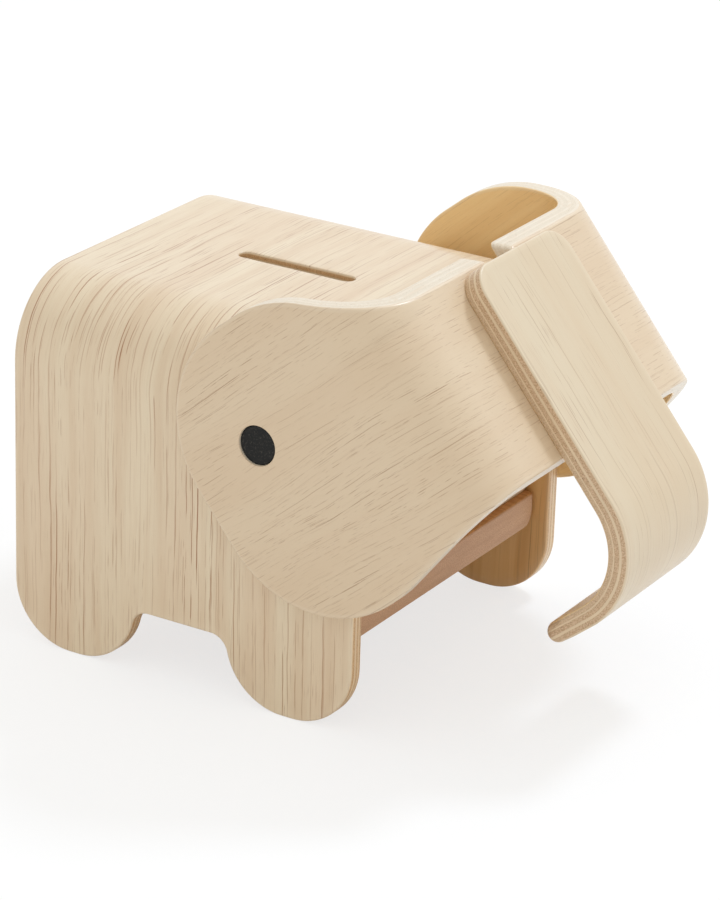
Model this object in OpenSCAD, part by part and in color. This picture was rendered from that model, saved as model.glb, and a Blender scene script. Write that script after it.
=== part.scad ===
// Elephant money box of bent plywood. Millimetres, +Z up, the trunk points to +X.
// The origin lies on the ground, under the middle of the whole.

/* [Body] */
// Length of the body, from the rear edge to the front edge
body_l = 108; // [96:1:130]
// Width of the body over both flanks
body_w = 109.5; // [96:0.1:130]
// Height of the back above the ground
body_h = 103.5; // [94:0.1:120]
// Outer radius of the bend between back and flank
body_r = 22.4; // [14:0.1:28]
// Thickness of the plywood of the body
body_ply = 4.9; // [4:0.1:6]

/* [Legs] */
// Width of one leg
leg_w = 39.2; // [36:0.1:42]
// Corner radius under a leg
foot_r = 18; // [10:0.5:18]
// Height of the belly line above the ground
belly_z = 18; // [17.5:0.5:20]
// Radius in the corners of the belly line
belly_r = 5.3; // [2:0.1:6]

/* [Coin slot] */
// Length of the coin slot
slot_l = 36.6; // [30:0.1:44]
// Width of the coin slot
slot_w = 4.6; // [4.4:0.1:5.4]

/* [Floor board] */
// Height of the underside of the floor board
board_z = 23.1; // [21:0.1:26]
// Thickness of the floor board
board_t = 9.6; // [8.5:0.1:12]
// Distance of the board from the front and rear edges of the flanks
board_inset = 4.2; // [2:0.1:8]
// Radius of the lower edges of the board, along the flanks
board_low_r = 4.5; // [2:0.1:5]
// Radius of the upper edges of the board, along the flanks
board_top_r = 1.5; // [0.5:0.1:2]
// Radius of the upright corners of the board
board_corner_r = 2.4; // [0.5:0.1:3]

/* [Front and rear panels] */
// Thickness of a panel
panel_t = 4; // [3:0.1:6]
// Distance of a panel from the end of the board
panel_inset = 2.6; // [1:0.1:6]
// Radius of the lower corners of a panel
panel_foot_r = 2.5; // [1:0.1:4]
// Gap round a panel under the back
panel_gap = 0.15; // [0.1:0.05:0.4]

/* [Stopper] */
// Diameter of the coin outlet in the floor board
outlet_d = 36; // [30:0.5:42]
// Radial clearance of the stopper's ribs in the outlet
stopper_fit = 0.05; // [0.02:0.01:0.1]
// Width of the lip beyond the outlet
lip_out = 5; // [4:0.5:8]
// Thickness of the lip
lip_t = 2.6; // [1.5:0.1:3]
// Depth of the groove between the ribs
rib_depth = 0.8; // [0.4:0.1:1.5]
// Height of one rib
rib_h = 2.2; // [1.5:0.1:2.6]
// Distance of the stopper's top below the top of the board
stopper_short = 1; // [0.5:0.1:2]

/* [Head] */
// Tilt of the face from upright
head_tilt = 39.2; // [34:0.1:42]
// Distance from the front corner of the back to the face, square to the face
face_ahead = 16.5; // [14:0.1:24]
// Distance from the front corner of the back down to the middle of the ears, along the face
ear_drop = 13.6; // [8:0.1:20]
// Thickness of the plywood of an ear
ear_ply = 5.5; // [4:0.1:6.5]
// Outer radius of the bend between ear and face
ear_bend_r = 19.4; // [14:0.1:24]
// Length of an ear, from its rear edge to the face
ear_l = 78.1; // [72:0.1:86]
// Height of an ear along the face
ear_h = 83.5; // [74:0.1:92]
// Radius of the ear's rear corners, where there is room for it
ear_corner_r = 33; // [20:0.5:36]
// Distance behind the face where the upper edge starts to fall
brow_back = 27.7; // [24:0.1:34]
// Fall of the upper edge towards the face, in degrees
brow_fall = 36.2; // [30:0.1:40]
// Radius of the brow
brow_r = 35; // [20:1:45]
// Distance behind the face where the lower edge starts to rise
jaw_back = 40.2; // [34:0.1:44]
// Rise of the lower edge towards the face, in degrees
jaw_rise = 13; // [8:0.1:18]
// Radius of the jaw
jaw_r = 36; // [20:1:80]
// Gap between the two halves of the face, behind the trunk
face_gap = 13; // [4:0.5:14]
// Radius of the corners of a half of the face at that gap
face_corner_r = 3.5; // [1:0.5:6]

/* [Eyes] */
// Distance of the eye behind the face
eye_back = 53.7; // [48:0.1:60]
// Height of the eye above the middle of the ear
eye_up = 10.6; // [4:0.1:16]
// Diameter of the eye's dowel
eye_d = 10.9; // [9:0.1:12]
// Depth of the eye below the ear's surface
eye_sunk = 0.6; // [0.2:0.1:0.9]

/* [Trunk] */
// Width of the trunk
trunk_w = 45.8; // [40:0.1:52]
// Thickness of the plywood of the trunk
trunk_ply = 5.9; // [5:0.1:7]
// Radius of the trunk's upper corners
trunk_corner_r = 7.5; // [3:0.5:12]
// Height of the trunk's top above the middle of the ears, along the face
trunk_up = 20.5; // [16:0.1:21]
// Length of the straight stretch below the middle of the ears
trunk_down = 48.5; // [44:0.1:56]
// Outer radius of the trunk's bend
trunk_r = 25.4; // [18:0.1:30]
// Length of the curled tip after the bend
tip_l = 14.8; // [10:0.1:24]

/* [Dowels] */
// Diameter of the dowels between trunk and face
trunk_dowel_d = 5; // [4:0.1:6]
// Length of a trunk dowel inside the trunk
trunk_dowel_in = 3.5; // [2:0.1:4]
// Distance of the trunk dowels from the middle plane
trunk_dowel_y = 14; // [11:0.5:17]
// Distance between the upper and lower trunk dowels
trunk_dowel_pitch = 30; // [20:1:34]
// Diameter of the dowels between flank and floor board
board_dowel_d = 4; // [3:0.1:4.2]
// Length of a board dowel inside the flank
board_dowel_out = 3; // [2:0.1:3.5]
// Length of a board dowel inside the board
board_dowel_in = 9; // [5:0.5:14]
// Distance between the two board dowels of a side
board_dowel_pitch = 66; // [56:1:76]
// Radial glue gap round a dowel
dowel_gap = 0.05; // [0.02:0.01:0.1]

/* [Hidden] */
$fn = 64;
small_fn = 24;         // facets round dowels and small roundings
over = 1;              // overshoot of a cutting body past the face it cuts
arc_steps = 14;        // steps in a rounded corner of an outline
inner_w = body_w - 2 * body_ply;
inner_r = body_r - body_ply;
back_z = body_h - body_ply;                  // underside of the back
slot_x = body_l / 2;
board_l = body_l - 2 * board_inset;
board_top = board_z + board_t;
board_dowel_z = board_z + board_t / 2;
panel_x = board_inset + panel_inset;         // outer face of the rear panel
outlet_x = body_l / 2;
plug_h = board_t - stopper_short;
plug_r = outlet_d / 2 - stopper_fit;
lip_r = outlet_d / 2 + lip_out;
head_w = body_w + 2 * ear_ply;               // the ears lie on the flanks
ear_half = ear_h / 2;
brow_corner_r = min(ear_corner_r, ear_l - brow_back - brow_r * tan(brow_fall / 2) - over);
jaw_corner_r = min(ear_corner_r, ear_l - jaw_back - jaw_r * tan(jaw_rise / 2) - over);
front_top = ear_half - (brow_back + over) * tan(brow_fall);
front_low = ear_half - (jaw_back + over) * tan(jaw_rise);
face_top = ear_half - (brow_back - ear_ply) * tan(brow_fall);   // rear edge of the face's top
face_low = ear_half - (jaw_back - ear_ply) * tan(jaw_rise);
bend_x = trunk_ply - trunk_r;                // centre of the trunk's bend
eye_l = ear_ply + body_ply - eye_sunk;       // through the ear and the flank
dowel_mid = (min(front_top, trunk_up) - front_low) / 2;
front_x = body_l + (face_ahead + bend_x) * cos(head_tilt) + (ear_drop + trunk_down) * sin(head_tilt) + trunk_r;

function unit(v) = v / norm(v);
// Corner b between a and c, rounded by radius r: points from the side of a to the side of c
function round_corner(a, b, c, r) =
    let (h = acos(unit(a - b) * unit(c - b)) / 2,
         m = b + unit(unit(a - b) + unit(c - b)) * r / sin(h),
         p = b + unit(a - b) * r / tan(h) - m,
         s = sign(cross(c - b, a - b)))
    [for (k = [0 : arc_steps])
        let (w = s * (90 - h) * 2 * k / arc_steps)
        m + [p.x * cos(w) - p.y * sin(w), p.x * sin(w) + p.y * cos(w)]];
// Closed outline through pts with each corner rounded by its own radius
function outline(pts, radii) =
    [for (i = [0 : len(pts) - 1])
        let (a = pts[(i + len(pts) - 1) % len(pts)], c = pts[(i + 1) % len(pts)])
        each (radii[i] > 0 ? round_corner(a, pts[i], c, radii[i]) : [pts[i]])];

// Frame of the body: x = 0 at its rear edge
module in_body() translate([-front_x / 2, 0, 0]) children();
// Frame of the head: x out of the face, y across, z up along the face from the middle of the ears
module in_head() in_body() translate([body_l, 0, body_h]) rotate([0, -head_tilt, 0])
    translate([face_ahead, 0, -ear_drop]) children();
// A drawing in x and z, made solid along y about the middle plane
module along_y(width) rotate([90, 0, 0]) translate([0, 0, -width / 2]) linear_extrude(width) children();
// A drawing in y and z, made solid along x
module along_x(length) rotate([90, 0, 90]) linear_extrude(length) children();

// Section of the body: flat back, two bends and upright flanks, filled down to the ground
module arch(width, height, radius) {
    translate([-width / 2, 0]) square([width, height - radius]);
    translate([-width / 2 + radius, 0]) square([width - 2 * radius, height]);
    for (s = [-1, 1]) translate([s * (width / 2 - radius), height - radius]) circle(radius);
}

module leg_outline() {
    for (x = [foot_r, leg_w - foot_r]) translate([x, foot_r]) circle(foot_r);
    translate([foot_r, 0]) square([leg_w - 2 * foot_r, foot_r]);
    translate([0, foot_r]) square([leg_w, belly_z + over - foot_r]);
}

// Rounded inner corner between a leg and the belly line
module belly_corner() difference() {
    translate([leg_w - over, belly_z - belly_r]) square([belly_r + over, belly_r + over]);
    translate([leg_w + belly_r, belly_z - belly_r]) circle(belly_r);
}

// Side view of a flank with its two legs
module flank_outline() {
    translate([0, belly_z]) square([body_l, body_h - belly_z]);
    for (s = [0, 1]) translate([s * body_l, 0]) mirror([s, 0]) {
        leg_outline();
        belly_corner();
    }
}

module slot_outline() {
    reach = (slot_l - slot_w) / 2;
    for (s = [-1, 1]) translate([s * reach, 0]) circle(d = slot_w, $fn = small_fn);
    translate([-reach, -slot_w / 2]) square([2 * reach, slot_w]);
}

// Inner faces of the flanks at the board dowels, z pointing outwards
module board_dowel_places()
    for (s = [0, 1], x = [-1, 1]) mirror([0, s, 0])
        translate([body_l / 2 + x * board_dowel_pitch / 2, inner_w / 2, board_dowel_z]) rotate([-90, 0, 0])
            children();

// Inner face of the flank behind an eye, z pointing outwards
module eye_place(side)
    mirror([0, side < 0 ? 1 : 0, 0]) translate([-eye_back, inner_w / 2, eye_up]) rotate([-90, 0, 0]) children();

// Rear surface of the face at the trunk dowels, z pointing out of the face
module trunk_dowel_places(sides)
    for (s = sides, k = [-1, 1])
        translate([-ear_ply, s * trunk_dowel_y, dowel_mid + k * trunk_dowel_pitch / 2]) rotate([0, 90, 0])
            children();

module eye_hole(side) eye_place(side) translate([0, 0, -over])
    cylinder(d = eye_d + 2 * dowel_gap, h = body_ply + ear_ply + 2 * over);

// Sheet bent twice over the body, with the legs cut out of its flanks
module body_shell() color("BurlyWood") difference() {
    in_body() intersection() {
        along_x(body_l) difference() {
            arch(body_w, body_h, body_r);
            translate([0, -over]) arch(inner_w, back_z + over, inner_r);
        }
        along_y(body_w + 2 * over) flank_outline();
    }
    in_body() translate([slot_x, 0, back_z - over]) linear_extrude(body_ply + 2 * over) slot_outline();
    in_body() board_dowel_places()
        cylinder(d = board_dowel_d + 2 * dowel_gap, h = board_dowel_out, $fn = small_fn);
    in_head() for (s = [-1, 1]) eye_hole(s);
}

// Cross-section of the board, with the edges along the flanks rounded
module board_section() {
    square([inner_w / 2 - board_low_r, board_t]);
    translate([0, board_low_r]) square([inner_w / 2, board_t - board_low_r - board_top_r]);
    translate([0, board_low_r]) square([inner_w / 2 - board_top_r, board_t - board_low_r]);
    translate([inner_w / 2 - board_low_r, board_low_r]) circle(board_low_r, $fn = small_fn);
    translate([inner_w / 2 - board_top_r, board_t - board_top_r]) circle(board_top_r, $fn = small_fn);
}

// Plan of a plate with four rounded corners, centred
module rounded_plate(size, radius) {
    square([size.x - 2 * radius, size.y], center = true);
    square([size.x, size.y - 2 * radius], center = true);
    for (x = [-1, 1], y = [-1, 1])
        translate([x * (size.x / 2 - radius), y * (size.y / 2 - radius)]) circle(radius, $fn = small_fn);
}

// Plank between the flanks, with the coin outlet through it
module floor_board() color("RosyBrown") in_body() difference() {
    intersection() {
        translate([board_inset, 0, board_z]) along_x(board_l) for (s = [0, 1]) mirror([s, 0]) board_section();
        translate([body_l / 2, 0, 0]) linear_extrude(board_top + over)
            rounded_plate([board_l, inner_w], board_corner_r);
    }
    translate([outlet_x, 0, board_z - over]) cylinder(d = outlet_d, h = board_t + 2 * over);
    board_dowel_places() translate([0, 0, -board_dowel_in])
        cylinder(d = board_dowel_d + 2 * dowel_gap, h = board_dowel_in + over, $fn = small_fn);
}

// Panel that closes the space for the coins, standing on the board
module panel() intersection() {
    along_x(panel_t) arch(inner_w - 2 * panel_gap, back_z - panel_gap, inner_r);
    along_x(panel_t) translate([0, board_top + body_h / 2])
        rounded_plate([inner_w - 2 * panel_gap, body_h], panel_foot_r);
}
module front_panel() color("BurlyWood") in_body() translate([body_l - panel_x - panel_t, 0, 0]) panel();
module rear_panel() color("BurlyWood") in_body() translate([panel_x, 0, 0]) panel();

// Turned stopper: a round-edged lip under the board and two ribs in the outlet
module coin_stopper() color("DimGray") in_body() translate([outlet_x, 0, board_z]) rotate_extrude() {
    translate([0, -lip_t]) square([lip_r - lip_t / 2, lip_t]);
    translate([lip_r - lip_t / 2, -lip_t / 2]) circle(lip_t / 2, $fn = small_fn);
    square([plug_r - rib_depth, plug_h]);
    for (z = [0, plug_h - rib_h]) translate([0, z]) square([plug_r, rib_h]);
}

// Side view of an ear and its half of the face
module ear_outline() polygon(outline(
    [[-ear_l, -ear_half], [-jaw_back, -ear_half], [over, -front_low],
     [over, front_top], [-brow_back, ear_half], [-ear_l, ear_half]],
    [jaw_corner_r, jaw_r, 0, 0, brow_r, brow_corner_r]));

// Edge of the bent strip, seen along the face: lobe, bend and half of the face
module ear_strip() {
    bend_y = head_w / 2 - ear_bend_r;
    translate([-ear_l, head_w / 2 - ear_ply]) square([ear_l - ear_bend_r, ear_ply]);
    translate([-ear_ply, face_gap / 2]) square([ear_ply, bend_y - face_gap / 2]);
    translate([-ear_bend_r, bend_y]) intersection() {
        difference() {
            circle(ear_bend_r);
            circle(ear_bend_r - ear_ply);
        }
        square(ear_bend_r + over);
    }
}

// Front view of the space that an ear may fill: its two corners at the middle gap are round
module ear_front() {
    inner = face_gap / 2 + face_corner_r;
    translate([inner, -ear_half - over]) square([head_w / 2 + over - inner, ear_h + 2 * over]);
    translate([face_gap / 2, face_corner_r - face_low])
        square([face_corner_r + over, face_top + face_low - 2 * face_corner_r]);
    for (z = [face_corner_r - face_low, face_top - face_corner_r]) translate([inner, z]) circle(face_corner_r);
}

module ear(side) color("Wheat") in_head() difference() {
    mirror([0, side < 0 ? 1 : 0, 0]) intersection() {
        translate([0, 0, -ear_half - over]) linear_extrude(ear_h + 2 * over) ear_strip();
        along_y(head_w + 2 * over) ear_outline();
        translate([-ear_l - over, 0, 0]) along_x(ear_l + 2 * over) ear_front();
    }
    eye_hole(side);
    trunk_dowel_places([side]) translate([0, 0, -over])
        cylinder(d = trunk_dowel_d + 2 * dowel_gap, h = ear_ply + 2 * over, $fn = small_fn);
}
module ear_left() ear(1);
module ear_right() ear(-1);

// Black dowel that pins an ear to its flank
module eye(side) color("Black") in_head() eye_place(side) cylinder(d = eye_d, h = eye_l);
module eye_left() eye(1);
module eye_right() eye(-1);

// Side view of the trunk: straight, quarter bend and curled tip with a round end
module trunk_side() {
    translate([0, -trunk_down]) square([trunk_ply, trunk_down + trunk_up]);
    translate([bend_x, -trunk_down]) intersection() {
        difference() {
            circle(trunk_r);
            circle(trunk_r - trunk_ply);
        }
        translate([0, -trunk_r - over]) square(trunk_r + over);
    }
    translate([bend_x - tip_l + trunk_ply / 2, -trunk_down - trunk_r]) {
        square([tip_l - trunk_ply / 2, trunk_ply]);
        translate([0, trunk_ply / 2]) circle(trunk_ply / 2, $fn = small_fn);
    }
}

// Front view of the trunk: the upper corners are round
module trunk_front() {
    low = trunk_down + trunk_r + over;
    side = trunk_w / 2 - trunk_corner_r;
    translate([-trunk_w / 2, -low]) square([trunk_w, low + trunk_up - trunk_corner_r]);
    translate([-side, 0]) square([2 * side, trunk_up]);
    for (s = [-1, 1]) translate([s * side, trunk_up - trunk_corner_r]) circle(trunk_corner_r);
}

module trunk() color("Moccasin") in_head() difference() {
    intersection() {
        along_y(trunk_w + 2 * over) trunk_side();
        translate([bend_x - tip_l - over, 0, 0]) along_x(tip_l + trunk_r + 2 * over) trunk_front();
    }
    trunk_dowel_places([-1, 1])
        cylinder(d = trunk_dowel_d + 2 * dowel_gap, h = ear_ply + trunk_dowel_in, $fn = small_fn);
}

module trunk_dowels() color("Tan") in_head() trunk_dowel_places([-1, 1])
    cylinder(d = trunk_dowel_d, h = ear_ply + trunk_dowel_in, $fn = small_fn);

module floor_dowels() color("Tan") in_body() board_dowel_places() translate([0, 0, -board_dowel_in])
    cylinder(d = board_dowel_d, h = board_dowel_in + board_dowel_out, $fn = small_fn);

body_shell();
floor_board();
front_panel();
rear_panel();
coin_stopper();
ear_left();
ear_right();
trunk();
eye_left();
eye_right();
trunk_dowels();
floor_dowels();
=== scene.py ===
import math
import bpy
import bmesh
import numpy as np
from mathutils import Matrix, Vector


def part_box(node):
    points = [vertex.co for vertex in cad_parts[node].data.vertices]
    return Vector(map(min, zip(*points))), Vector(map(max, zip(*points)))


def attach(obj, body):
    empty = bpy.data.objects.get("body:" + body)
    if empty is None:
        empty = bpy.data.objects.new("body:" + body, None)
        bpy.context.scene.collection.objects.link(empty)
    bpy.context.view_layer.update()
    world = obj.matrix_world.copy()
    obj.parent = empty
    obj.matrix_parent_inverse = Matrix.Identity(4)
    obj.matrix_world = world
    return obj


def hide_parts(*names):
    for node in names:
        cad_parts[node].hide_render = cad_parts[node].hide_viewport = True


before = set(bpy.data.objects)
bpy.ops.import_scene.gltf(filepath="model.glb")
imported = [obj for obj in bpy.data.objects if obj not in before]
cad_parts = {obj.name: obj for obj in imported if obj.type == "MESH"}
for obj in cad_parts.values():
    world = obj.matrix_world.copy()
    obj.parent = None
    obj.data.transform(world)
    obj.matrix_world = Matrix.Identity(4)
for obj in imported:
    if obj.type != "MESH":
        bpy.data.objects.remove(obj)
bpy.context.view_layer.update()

# Sizes are in millimetres in the body's own frame: x from its rear edge, y across, z up from the
# ground. gridMesh and buildCamera turn them into the metres of the row frame.
perMetre = 1000
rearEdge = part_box("body_shell")[0][0] * perMetre     # where that frame starts in the row frame
quarterTurn = math.pi / 2
mergeReach = 2e-6                                    # in metres; nearer points of a mesh are one


# A colour written as 0 to 255 values, turned into linear light by the sRGB curve
def tone(red, green, blue):
    c = np.array([red, green, blue]) / 255
    linear = np.where(c > 0.04045, ((c + 0.055) / 1.055) ** 2.4, c / 12.92)
    return (*[float(v) for v in linear], 1.0)


# Points on a circle: centre + radius * (cos, sin) of evenly spaced angles in degrees
def arcLoop(cx, cy, radius, start, end, count):
    a = np.radians(np.linspace(start, end, count))
    return np.stack([cx + radius * np.cos(a), cy + radius * np.sin(a)], 1)


# Points on a straight line, evenly spaced, without its two ends
def lineLoop(p, q, count):
    t = np.linspace(0, 1, count + 2)[1:-1, None]
    return np.array(p) * (1 - t) + np.array(q) * t


# A closed loop moved inwards: each point plus its left-hand normal times the inset
def insetLoop(loop, inset):
    along = np.roll(loop, -1, 0) - np.roll(loop, 1, 0)
    along = along / np.linalg.norm(along, axis=1, keepdims=True)
    return loop + np.stack([-along[:, 1], along[:, 0]], 1) * np.reshape(inset, (-1, 1))


# The quarter circle that rounds an edge, from the face's side to the edge's side. At angle a it
# lies radius * (1 - sin a) away from the edge's plane and radius * (1 - cos a) below the face.
def roundedEdge(radius, steps):
    a = np.linspace(0, quarterTurn, steps)[:, None]
    return radius * (1 - np.sin(a)), radius * (1 - np.cos(a))


# Rows round the rim of a sheet: off the outer face, down the flat edge, onto the inner face.
# The outline may depend on the depth, and the radius on the place.
def rimRows(outlineAt, thick, radius, steps=6):
    radius = np.broadcast_to(radius, (1, len(outlineAt(0.0))))
    away, below = roundedEdge(radius, steps)
    inset = np.concatenate([away, away[::-1]])
    depth = np.concatenate([below, thick - below[::-1]])
    return np.stack([insetLoop(outlineAt(d), i) for d, i in zip(depth, inset)]), depth


# Rows down the wall of a hole, from the inner face to the outer face, with its two edges rounded
def holeRows(hole, outward, thick, radius, steps=4):
    away, below = roundedEdge(radius, steps)
    plan = hole + outward * np.concatenate([away, away[::-1]])[:, :, None]
    depth = np.concatenate([thick - below, below[::-1]])
    return plan, np.broadcast_to(depth, plan.shape[:2])


# The core of a sheet without a hole: one line on the inner face, then the same on the outer face
def spineRows(spine, thick):
    return np.stack([spine, spine]), np.array([[thick], [0.0]]) * np.ones(len(spine))


# A sheet as one closed grid: down the rim, over the inner face to the core, through the core and
# back over the outer face. Rows on the faces are straight blends between the rim and the core.
# It gives the place in the unrolled sheet and the depth.
def sheetRows(rim, core, faceRows):
    t = np.linspace(0, 1, faceRows)[1:-1]
    blend = lambda a, b: a + (b - a) * t.reshape((-1,) + (1,) * a.ndim)
    return [np.concatenate([outer, blend(outer[-1], inner[0]), inner, blend(inner[-1], outer[0])])
            for outer, inner in zip(rim, core)]


# 1 on the rounded rim; on the first row of a face it falls with the distance, and is 0 past that
def rimValue(plan, rimCount, fade=3.0):
    value = np.zeros(plan.shape[:2])
    value[:rimCount] = 1
    span = np.linalg.norm(plan[rimCount] - plan[rimCount - 1], axis=-1)
    value[rimCount] = np.clip(1 - span / fade, 0, 1)
    value[-1] = value[rimCount]
    return value


# An object at the origin, in the scene
def addObject(name, data):
    obj = bpy.data.objects.new(name, data)
    bpy.context.scene.collection.objects.link(obj)
    return obj


# Mesh of a grid of rows x columns. Columns are closed, and rows too unless closedRows is off;
# cutRow is a strip of faces that is left out. The sum of (a x b) . c + (a x c) . d over the faces
# a b c d is six times the enclosed volume, and where it is negative the faces are turned round.
def gridMesh(name, points, grain, rim=None, cutRow=None, merge=False, closedRows=True):
    rows, columns = points.shape[:2]
    r = np.arange(rows if closedRows else rows - 1)
    if cutRow is not None:
        r = r[r != cutRow]
    r, c = [v.ravel() for v in np.meshgrid(r, np.arange(columns), indexing="ij")]
    corner = lambda dr, dc: ((r + dr) % rows) * columns + (c + dc) % columns
    quads = np.stack([corner(0, 0), corner(0, 1), corner(1, 1), corner(1, 0)], 1)
    spots = points.reshape(-1, 3).copy()
    p0, p1, p2, p3 = [spots[quads[:, k]] for k in range(4)]
    if np.sum(np.cross(p0, p1) * p2) + np.sum(np.cross(p0, p2) * p3) < 0:
        quads = quads[:, ::-1]
    spots[:, 0] += rearEdge
    mesh = bpy.data.meshes.new(name)
    mesh.vertices.add(len(spots))
    mesh.vertices.foreach_set("co", (spots / perMetre).astype(np.float32).ravel())
    mesh.loops.add(quads.size)
    mesh.loops.foreach_set("vertex_index", quads.astype(np.int32).ravel())
    mesh.polygons.add(len(quads))
    mesh.polygons.foreach_set("loop_start", np.arange(0, quads.size, 4, dtype=np.int32))
    mesh.polygons.foreach_set("use_smooth", np.ones(len(quads), dtype=bool))
    mesh.update(calc_edges=True)
    mesh.attributes.new("grain", "FLOAT_VECTOR", "POINT").data.foreach_set(
        "vector", grain.reshape(-1, 3).astype(np.float32).ravel())
    rim = np.zeros(len(spots)) if rim is None else rim
    mesh.attributes.new("rim", "FLOAT", "POINT").data.foreach_set(
        "value", rim.astype(np.float32).ravel())
    if merge:                            # where rows meet, as at a turned piece's axis
        work = bmesh.new()
        work.from_mesh(mesh)
        bmesh.ops.remove_doubles(work, verts=work.verts, dist=mergeReach)
        work.to_mesh(mesh)
        work.free()
    mesh.validate()
    return addObject(name, mesh)


# The piece gets its material, rides on its body and stands for its CAD node
def finishPiece(obj, material, body, node):
    obj.data.materials.append(material)
    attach(obj, body)
    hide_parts(node)
    print("made", obj.name, len(obj.data.polygons), "faces")


# A node with its inputs set by name or, as i0, i1 and so on, by number; an output is linked
def addNode(tree, kind, settings=None, **inputs):
    item = tree.nodes.new(kind)
    for key, value in (settings or {}).items():
        setattr(item, key, value)
    for key, value in inputs.items():
        socket = item.inputs[int(key[1:]) if key[1:].isdigit() else key.replace("_", " ")]
        if isinstance(value, bpy.types.NodeSocket):
            tree.links.new(value, socket)
        else:
            socket.default_value = value
    return item


def mathOf(tree, operation, first, second=0.0):
    return addNode(tree, "ShaderNodeMath", {"operation": operation}, i0=first, i1=second).outputs[0]


def plus(tree, first, second):
    return mathOf(tree, "ADD", first, second)


def minus(tree, first, second):
    return mathOf(tree, "SUBTRACT", first, second)


def times(tree, first, second):
    return mathOf(tree, "MULTIPLY", first, second)


# A smooth step: outLow up to low, outHigh from high on
def remap(tree, value, low, high, outLow=0.0, outHigh=1.0):
    return addNode(tree, "ShaderNodeMapRange", {"interpolation_type": "SMOOTHSTEP"}, i0=value,
                   i1=low, i2=high, i3=outLow, i4=outHigh).outputs[0]


def mixColour(tree, amount, first, second):
    return addNode(tree, "ShaderNodeMix", {"data_type": "RGBA"}, i0=amount, i6=first,
                   i7=second).outputs[2]


# Noise on a stretched copy of a position; stretch is per unit of the position
def noiseOf(tree, position, stretch, detail=2.0, shift=(0, 0, 0), distortion=0.0, roughness=0.5):
    place = addNode(tree, "ShaderNodeMapping", i0=position, Scale=stretch, Location=shift)
    return addNode(tree, "ShaderNodeTexNoise", i0=place.outputs[0], Scale=1.0, Detail=detail,
                   Roughness=roughness, Distortion=distortion).outputs[0]


# What the mesh holds at each point: the grain, which is the place in the wood in millimetres, or
# how much the point belongs to the rim
def grainOf(tree):
    return addNode(tree, "ShaderNodeAttribute", {"attribute_name": "grain"}).outputs["Vector"]


def rimOf(tree):
    return addNode(tree, "ShaderNodeAttribute", {"attribute_name": "rim"}).outputs["Fac"]


coatRoughness = 0.3


def newMaterial(name):
    material = bpy.data.materials.new(name)
    material.use_nodes = True
    tree = material.node_tree
    shader = tree.nodes["Principled BSDF"]
    shader.inputs["Coat Roughness"].default_value = coatRoughness
    return material, tree, shader


# Roughness that follows a noise, between the look's two ends
def glossOf(tree, noise, look, low=0.3, high=0.7):
    return remap(tree, noise, low, high, look["roughLow"], look["roughHigh"])


# Colour, roughness and bump go into the shader; the bump's reach is in metres
def wireShader(tree, shader, colour, roughness, height, strength, reach):
    bump = addNode(tree, "ShaderNodeBump", Strength=strength, Distance=reach, Height=height)
    tree.links.new(colour, shader.inputs["Base Color"])
    tree.links.new(roughness, shader.inputs["Roughness"])
    tree.links.new(bump.outputs[0], shader.inputs["Normal"])


# A pore line lies in its lane between margin and margin + spread, in shares of the lane. The noise
# that breaks it up starts laneStep further on in the next lane and fades in over fade; the line is
# taper narrower where it is broken. Its strength is at least faintest of the full amount, and it is
# full up to full and gone past gone, in shares of its width.
poreLine = {"spread": 0.6, "margin": 0.2, "laneStep": 3.7, "fade": 0.16, "taper": 0.5,
            "faintest": 0.3, "full": 0.25, "gone": 0.75, "detail": 2.5, "roughness": 0.6}


# Thin lines along the fibres: the sheet is parted across into lanes, and each lane has one line
# with a place and a strength of its own
def lineLayer(tree, along, across, lane, width, length, start, amount, shift, p=poreLine):
    place = plus(tree, mathOf(tree, "DIVIDE", across, lane), shift)
    number = mathOf(tree, "FLOOR", place)
    own = addNode(tree, "ShaderNodeTexWhiteNoise", {"noise_dimensions": "1D"}, W=number)
    picks = addNode(tree, "ShaderNodeSeparateColor", i0=own.outputs["Color"]).outputs
    centre = plus(tree, times(tree, picks[0], p["spread"]), p["margin"])
    away = mathOf(tree, "ABSOLUTE", minus(tree, mathOf(tree, "FRACT", place), centre))
    away = times(tree, away, lane / width)
    spot = addNode(tree, "ShaderNodeCombineXYZ", i0=mathOf(tree, "DIVIDE", along, length),
                   i1=times(tree, number, p["laneStep"]))
    broken = addNode(tree, "ShaderNodeTexNoise", i0=spot.outputs[0], Scale=1.0, Detail=p["detail"],
                     Roughness=p["roughness"]).outputs[0]
    broken = remap(tree, broken, start, start + p["fade"])
    away = plus(tree, away, times(tree, minus(tree, 1.0, broken), p["taper"]))
    strength = remap(tree, picks[1], 0.0, 1.0, p["faintest"] * amount, amount)
    return times(tree, remap(tree, away, p["full"], p["gone"], 1.0, 0.0),
                 times(tree, broken, strength))


# The noises of all plywood. Stretch is along the fibres, across them and in depth, per millimetre.
plyNoise = {
    "sway": {"stretch": (0.012, 0.03, 0.3)},                         # fibres waver sideways
    "cloud": {"stretch": (0.006, 0.05, 0.5), "detail": 3},           # warm and pale areas
    "band": {"stretch": (0.008, 0.20, 0.5), "detail": 3},            # bands along the fibres
    "silk": {"stretch": (0.09, 3.2, 0.8), "detail": 3},              # the finest streaks
    "curl": {"stretch": (0.07, 0.16, 0.3), "shift": (6, 1, 4)},      # pore lines leave the fibres
    "crowd": {"stretch": (0.014, 0.07, 0.4), "shift": (9, 2, 5)},    # where pore lines are many
    "layer": {"stretch": (0.10, 0.10, 0.02), "shift": (2, 2, 2)},    # layers waver in depth
    "speck": {"stretch": (2.7, 2.7, 3.0), "roughness": 0.7},         # end grain of the cross plies
    "dot": {"stretch": (1.5, 1.5, 2.6), "detail": 1, "shift": (4, 4, 4)},    # its dark pores
}
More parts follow.
